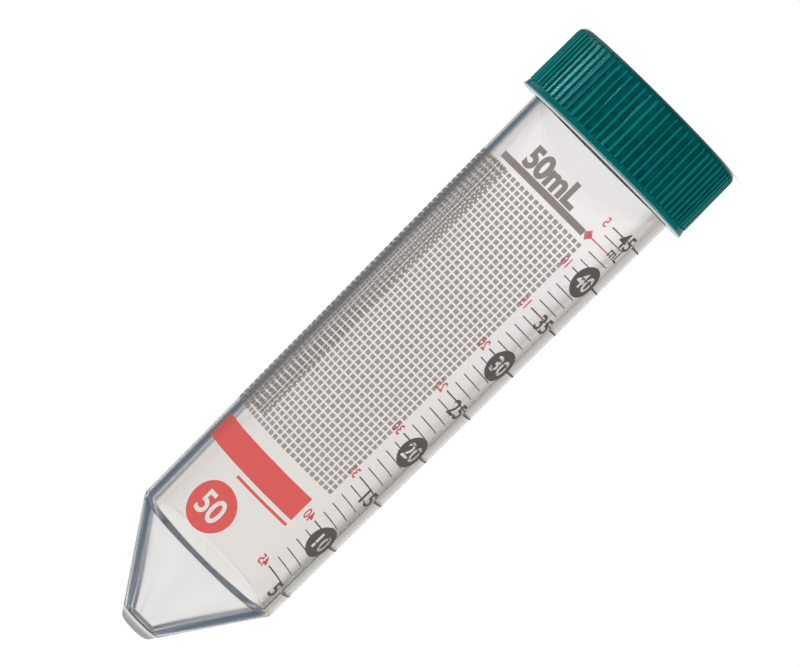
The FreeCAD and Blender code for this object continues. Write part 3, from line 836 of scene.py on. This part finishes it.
def patch(start, end, z_low, z_high):
    """A printed rectangle between two bearings and two heights."""
    bpy.ops.object.select_all(action="DESELECT")
    bpy.ops.mesh.primitive_plane_add(size=1.0)
    patch_piece = bpy.context.object
    patch_piece.scale = ((along(end) - along(start)) * MM, (z_high - z_low) * MM, 1)
    patch_piece.location = ((along(start) + along(end)) / 2 * MM, -(z_low + z_high) / 2 * MM, 0)
    bpy.ops.object.transform_apply(location=True, rotation=True, scale=True)
    return patch_piece


def wrap(name, marks, strips=True):
    """Join flat marks into one sheet, wrap it round the tube and press it on the wall.

    A sheet of marks that are narrow already needs no strips.
    """
    bpy.ops.object.select_all(action="DESELECT")
    for mark in marks:
        mark.select_set(True)
    sheet = marks[0]
    bpy.context.view_layer.objects.active = sheet
    if len(marks) > 1:
        bpy.ops.object.join()
    sheet.name = name
    left = min(vertex.co.x for vertex in sheet.data.vertices)
    right = max(vertex.co.x for vertex in sheet.data.vertices)
    if strips:
        bpy.ops.object.mode_set(mode="EDIT")
        count = math.ceil((right - left) / MM / STRIP)
        for cut in range(1, count):
            place = left + (right - left) * cut / count
            bpy.ops.mesh.select_all(action="SELECT")
            bpy.ops.mesh.bisect(plane_co=(place, 0, 0), plane_no=(1, 0, 0))
        bpy.ops.object.mode_set(mode="OBJECT")
    sheet.rotation_euler = (math.radians(90), math.radians(180), 0)
    bpy.ops.object.transform_apply(location=True, rotation=True, scale=True)
    bend = sheet.modifiers.new("bend", "SIMPLE_DEFORM")
    bend.deform_method = "BEND"
    bend.deform_axis = "Z"
    bend.angle = (right - left) / (BODY_R * MM)
    bpy.ops.object.modifier_apply(modifier="bend")
    sheet.location.y = -BODY_R * MM
    bpy.ops.object.transform_apply(location=True, rotation=True, scale=True)
    press = sheet.modifiers.new("press", "SHRINKWRAP")
    press.target = tube
    press.wrap_mode = "ABOVE_SURFACE"
    press.offset = INK_GAP * MM
    bpy.ops.object.modifier_apply(modifier="press")
    film = sheet.modifiers.new("film", "SOLIDIFY")
    film.thickness = INK * MM
    film.offset = 1.0
    bpy.ops.object.modifier_apply(modifier="film")
    bpy.ops.object.mode_set(mode="EDIT")
    close_mesh(sheet)
    bpy.ops.object.shade_smooth_by_angle(angle=SMOOTH_BELOW)
    report(sheet)
    return sheet


# %% [markdown]
# ### Numbers
#
# The real numbers are a plain, narrow face. They could be drawn stroke by stroke, but a text object
# has good outlines ready. The built-in font is squeezed until its zero has the width and height of a
# real one, and a small offset makes its strokes heavier. An unprinted number is a hole: its outline
# is joined to a circle as one flat curve, and where outlines of one curve lie inside each other, the
# fill skips every second one.

# %% Number helpers
def lettering(text, bold, smooth=4):
    """A text one unit high or so, centred across. Each curve of an outline has so many steps."""
    bpy.ops.object.select_all(action="DESELECT")
    bpy.ops.object.text_add()
    label = bpy.context.object
    label.data.body = text
    label.data.align_x = "CENTER"
    label.data.resolution_u = smooth
    label.data.offset = bold
    return label


zero = lettering("0", 0.0)
bpy.context.view_layer.update()
ZERO_WIDTH, ZERO_HEIGHT = zero.dimensions.x, zero.dimensions.y
bpy.data.objects.remove(zero)
print("the font's zero is", round(ZERO_WIDTH, 3), "by", round(ZERO_HEIGHT, 3))


def number(text, bearing, z, width, height, bold=0.0, disc=None, smooth=4):
    """A text on the sheet, with signs of this width and height, or the same unprinted in a disc."""
    label = lettering(text, bold, smooth)
    label.data.offset_y = -ZERO_HEIGHT / 2
    across = width / (ZERO_WIDTH + 2 * bold)
    up = height / (ZERO_HEIGHT + 2 * bold)
    bpy.ops.object.convert(target="MESH")
    if disc:
        bpy.ops.object.convert(target="CURVE")
        label = bpy.context.object
        label.data.dimensions = "2D"
        bpy.ops.object.select_all(action="DESELECT")
        bpy.ops.curve.primitive_bezier_circle_add(radius=disc / 2)
        ring = bpy.context.object
        ring.data.dimensions = "2D"
        ring.data.fill_mode = "BOTH"
        ring.scale = (1 / across, 1 / up, 1)
        bpy.ops.object.transform_apply(location=False, rotation=False, scale=True)
        label.select_set(True)
        bpy.ops.object.join()
        bpy.ops.object.convert(target="MESH")
    return set_down(bpy.context.object, bearing, z, across, up)


# %% [markdown]
# ### Ink
#
# Screen ink is a thin matt film. It lets some light through, each ink its own share, and its
# underside, seen through the tube's far wall, looks paler than its face. A translucent shader would
# do for a thick film, but here the film is mixed with a see-through shader in the ink's own tint,
# and its colour is mixed with white where the surface faces the axis: painted light, for the glow
# that comes through the ink from behind. Close up the ink is made of fine dots, which show as a
# grain between two colours.

# %% Ink finish
# Painted light: the underside is lifted towards white for the glow through the ink from behind.
PAINTED_BACKLIGHT = 0.5  # how much of the underside's colour is white
GRAIN_SCALE = 9000.0
GRAIN_FROM, GRAIN_TO = 0.35, 0.65
CLEAR = WHITE


def ink_finish(name, dark, pale, through, tint):
    """A film whose grain runs between two colours and that lets a share of tinted light through."""
    finish, tree = new_finish(name)
    place = tree.node("ShaderNodeTexCoord").out("Object")
    grain = tree.node("ShaderNodeTexNoise", None, {"Vector": place, "Scale": GRAIN_SCALE, "Detail": 1.0})
    face_colour = tree.mixed(tree.step(grain, GRAIN_FROM, GRAIN_TO), dark, pale)
    facing = tree.node("ShaderNodeNewGeometry").out("Normal")
    dot_product = {"operation": "DOT_PRODUCT"}
    outward = tree.node("ShaderNodeVectorMath", dot_product, {0: facing, 1: place}, output=1)
    underside = outward.math("LESS_THAN", 0.0)
    colour = tree.mixed(underside * PAINTED_BACKLIGHT, face_colour, WHITE)
    film = tree.node(
        "ShaderNodeBsdfPrincipled",
        None,
        {"Base Color": colour, "Roughness": 0.45 + grain * 0.15, "Specular IOR Level": 0.2},
    )
    seen_through = tree.node("ShaderNodeBsdfTransparent", None, {"Color": tint})
    shader = tree.node("ShaderNodeMixShader", None, {0: through, 1: film, 2: seen_through})
    tree.node("ShaderNodeOutputMaterial", None, {"Surface": shader})
    return finish


def dress(piece, node, finish):
    """Give a printed piece its ink and its place on the tube."""
    flag_off(piece)
    piece.data.materials.clear()
    piece.data.materials.append(finish)
    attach(piece, "tube")
    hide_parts(node)


# %% [markdown]
# ### The scale
#
# The marks stand where the bore holds their volume with the tip down. Typed heights would go wrong
# with any change of the bore, so they are worked out: the volume is that of the hollow cone and of a
# frustum above it, and the height of a mark is found by halving the bore's length until it fits. The
# printed scale sits a fifth of a millimetre nearer the tip than that.

# %% Scale levels
SCALE_SHIFT = 0.2
LEVEL_NEAR = 0.0001
CUBIC_MM = 1000  # in a millilitre
STEP = 5
TOP = 45


def frustum(r_low, r_high, height):
    """Volume of a length of cone."""
    return math.pi / 3 * height * (r_low**2 + r_low * r_high + r_high**2)


def held(z):
    """Millilitres in the tube, tip down, up to a height of the bore."""
    cone = frustum(BORE_CONE_R, FLOOR_R, FLOOR_Z - BORE_CONE_Z)
    return (cone + frustum(bore_r(z), BORE_CONE_R, BORE_CONE_Z - z)) / CUBIC_MM


def level(millilitres):
    """Height of a mark of the scale."""
    low, high = MOUTH_Z, BORE_CONE_Z
    while high - low > LEVEL_NEAR:
        middle = (low + high) / 2
        if held(middle) > millilitres:
            low = middle
        else:
            high = middle
    return low + SCALE_SHIFT


print("10 ml is", round(level(10), 2), "mm up, and 45 ml is", round(level(45), 2), "mm up")

# %% [markdown]
# ### The dark scale
#
# From 5 ml on a fine mark stands at each millilitre and a longer, heavier one at every fifth, with
# its number at its near end. Every second number is left unprinted in a disc. The marks run round
# towards the red scale and all end on one line. The 43 ml mark is missing here, because it is printed
# in red.

# %% Dark scale
TICK_END = 139.3
MINOR_START = 107.5
MAJOR_START = 63.8
MINOR = 0.2
MAJOR = 0.26
RED_LEVEL = TOP - 2
NUMBER_BEARING = 54.5
NUMBER_WIDTH, NUMBER_HEIGHT = 1.85, 2.9
NUMBER_BOLD = 0.018
DISC = 5.8
DISC_BEARING = 53.2
DISC_BOLD = 0.02
UNIT_BEARING = 55
UNIT_LEVEL = TOP - 1.5
UNIT_WIDTH, UNIT_HEIGHT = 1.25, 2.0
UNIT_BOLD = 0.01
dark_ink = ink_finish("dark_ink", (0.125, 0.107, 0.101, 1.0), (0.175, 0.150, 0.142, 1.0), 0.05, CLEAR)


def tick(millilitres, thickness, start, end=TICK_END):
    """One mark of the scale."""
    z = level(millilitres)
    return patch(start, end, z - thickness / 2, z + thickness / 2)


marks = []
for millilitres in range(STEP, TOP + 1):
    major = millilitres % STEP == 0
    if millilitres != RED_LEVEL:
        marks.append(tick(millilitres, MAJOR if major else MINOR, MAJOR_START if major else MINOR_START))
for millilitres in range(STEP, TOP + 1, STEP):
    disc, bearing, bold = None, NUMBER_BEARING, NUMBER_BOLD
    if millilitres % (2 * STEP) == 0:
        disc, bearing, bold = DISC, DISC_BEARING, DISC_BOLD
    z = level(millilitres)
    marks.append(number(str(millilitres), bearing, z, NUMBER_WIDTH, NUMBER_HEIGHT, bold, disc))
marks.append(number("mL", UNIT_BEARING, level(UNIT_LEVEL), UNIT_WIDTH, UNIT_HEIGHT, UNIT_BOLD))
scale = wrap("dark_scale", marks)
dress(scale, "scale_print", dark_ink)

# %% [markdown]
# ### The red reverse scale
#
# Small red numbers count the other way beside the marks' far ends, for reading what has been poured
# out. The 43 ml mark is red and ends in a diamond: a circle of four vertices, squeezed to its size.
# The ink is thinner than that of the large red marks and so lets more light through.

# %% Red reverse scale
REVERSE_BEARING = 146.0
REVERSE_WIDTH, REVERSE_HEIGHT = 1.04, 1.9
REVERSE_BOLD = 0.02
RED_START = 118.0
DIAMOND_BEARING = 149.2
DIAMOND_WIDTH, DIAMOND_HEIGHT = 1.95, 2.1
marks = [tick(RED_LEVEL, MAJOR, RED_START, DIAMOND_BEARING)]
for millilitres in range(STEP, TOP + 1, STEP):
    z = level(TOP + STEP - millilitres)
    label = number(str(millilitres), REVERSE_BEARING, z, REVERSE_WIDTH, REVERSE_HEIGHT, REVERSE_BOLD)
    marks.append(label)
bpy.ops.object.select_all(action="DESELECT")
bpy.ops.mesh.primitive_circle_add(vertices=4, radius=0.5, fill_type="NGON")
diamond = bpy.context.object
marks.append(set_down(diamond, DIAMOND_BEARING, level(RED_LEVEL), DIAMOND_WIDTH, DIAMOND_HEIGHT))
reverse_scale = wrap("red_reverse_scale", marks)
THIN_RED_TINT = (1.0, 0.40, 0.46, 1.0)
thin_red = ink_finish("thin_red_ink", (0.97, 0.30, 0.33, 1.0), (1.0, 0.35, 0.39, 1.0), 0.8, THIN_RED_TINT)
dress(reverse_scale, "reverse_scale_print", thin_red)

# %% [markdown]
# ### The writing panel
#
# The writing panel is a field of fine squares with softened corners, which a pencil or a marker holds
# on to. One square is modelled, and two Array modifiers repeat it across and down the sheet. A
# checked pattern in a shader would be lighter, but it would have no edges of its own.

# %% Writing panel
PANEL_START, PANEL_END = -134.0, 30.0
PANEL_Z = BODY_Z + 11.36
PANEL_END_Z = 78.9
PANEL_PITCH = 1.065
DOT = 0.755
DOT_CORNER = 0.09
columns = math.floor((along(PANEL_END) - along(PANEL_START) - DOT) / PANEL_PITCH) + 1
rows = round((PANEL_END_Z - PANEL_Z - DOT) / PANEL_PITCH) + 1
row_pitch = (PANEL_END_Z - PANEL_Z - DOT) / (rows - 1)
first = (along(PANEL_START) + DOT / 2) * MM
bpy.ops.object.select_all(action="DESELECT")
bpy.ops.mesh.primitive_plane_add(size=DOT * MM, location=(first, -(PANEL_Z + DOT / 2) * MM, 0))
dots = bpy.context.object
bpy.ops.object.transform_apply(location=True, rotation=True, scale=True)
bpy.ops.object.mode_set(mode="EDIT")
bpy.ops.mesh.select_all(action="SELECT")
bpy.ops.mesh.bevel(offset=DOT_CORNER * MM, segments=2, affect="VERTICES")
bpy.ops.object.mode_set(mode="OBJECT")
for name, count, step in (("across", columns, (PANEL_PITCH, 0, 0)), ("down", rows, (0, -row_pitch, 0))):
    array = dots.modifiers.new(name, "ARRAY")
    array.count = count
    array.use_relative_offset = False
    array.use_constant_offset = True
    array.constant_offset_displace = [part * MM for part in step]
    bpy.ops.object.modifier_apply(modifier=name)
panel = wrap("writing_dots", [dots], strips=False)
dot_ink = ink_finish("dot_ink", (0.27, 0.215, 0.195, 1.0), (0.39, 0.315, 0.290, 1.0), 0.5, CLEAR)
dress(panel, "writing_panel", dot_ink)
print("the panel has", columns, "by", rows, "dots")

# %% [markdown]
# ### The grey mark
#
# A large capacity with a bar under it stands beside the cap. It is lettering and a rectangle like
# those of the scale, in a paler grey ink. Its curves have more steps, because it is large.

# %% Grey mark
MARK_BEARING = -14.5
MARK_FOOT_Z = BODY_Z + 9.06
MARK_WIDTH, MARK_HEIGHT = 2.6, 4.2
MARK_BOLD = 0.045
MARK_SMOOTH = 10
BAR_START, BAR_END = -53, 24
BAR_Z = BODY_Z + 9.26
BAR_HEIGHT = 1.2
grey_ink = ink_finish("grey_ink", (0.330, 0.288, 0.275, 1.0), (0.420, 0.368, 0.352, 1.0), 0.1, CLEAR)
marks = [patch(BAR_START, BAR_END, BAR_Z, BAR_Z + BAR_HEIGHT)]
mark_size = (MARK_WIDTH, MARK_HEIGHT, MARK_BOLD)
mark_z = MARK_FOOT_Z - MARK_HEIGHT / 2
marks.append(number("50mL", MARK_BEARING, mark_z, *mark_size, smooth=MARK_SMOOTH))
grey_mark = wrap("capacity_mark", marks)
dress(grey_mark, "grey_mark", grey_ink)

# %% [markdown]
# ### The red mark
#
# A bar and a thin line lie under the panel, and a disc with an unprinted number lies above the cone.
# They are plain shapes made as the scale's are. Their ink lets half the light through, in red.

# %% Red mark
LINE_START, LINE_END = -22.3, 22.7
LINE_END_Z = CONE_Z - 12.94
LINE_Z = LINE_END_Z - 0.5
RED_BAR_START = -68
RED_BAR_END_Z = LINE_Z - 0.8
RED_BAR_Z = RED_BAR_END_Z - 4.6
RED_DISC = 8.4
RED_DISC_BEARING = -20.5
RED_DISC_Z = CONE_Z - 2.84 - RED_DISC / 2
RED_WIDTH, RED_HEIGHT = 2.3, 4.2
RED_BOLD = 0.02
RED_SMOOTH = 8
RED_TINT = (1.0, 0.35, 0.35, 1.0)
red_ink = ink_finish("red_ink", (0.96, 0.225, 0.205, 1.0), (0.99, 0.260, 0.240, 1.0), 0.5, RED_TINT)
marks = [patch(RED_BAR_START, LINE_END, RED_BAR_Z, RED_BAR_END_Z)]
marks.append(patch(LINE_START, LINE_END, LINE_Z, LINE_END_Z))
disc_place = (RED_DISC_BEARING, RED_DISC_Z)
marks.append(number("50", *disc_place, RED_WIDTH, RED_HEIGHT, RED_BOLD, RED_DISC, RED_SMOOTH))
red_mark = wrap("red_mark_print", marks)
dress(red_mark, "red_mark", red_ink)
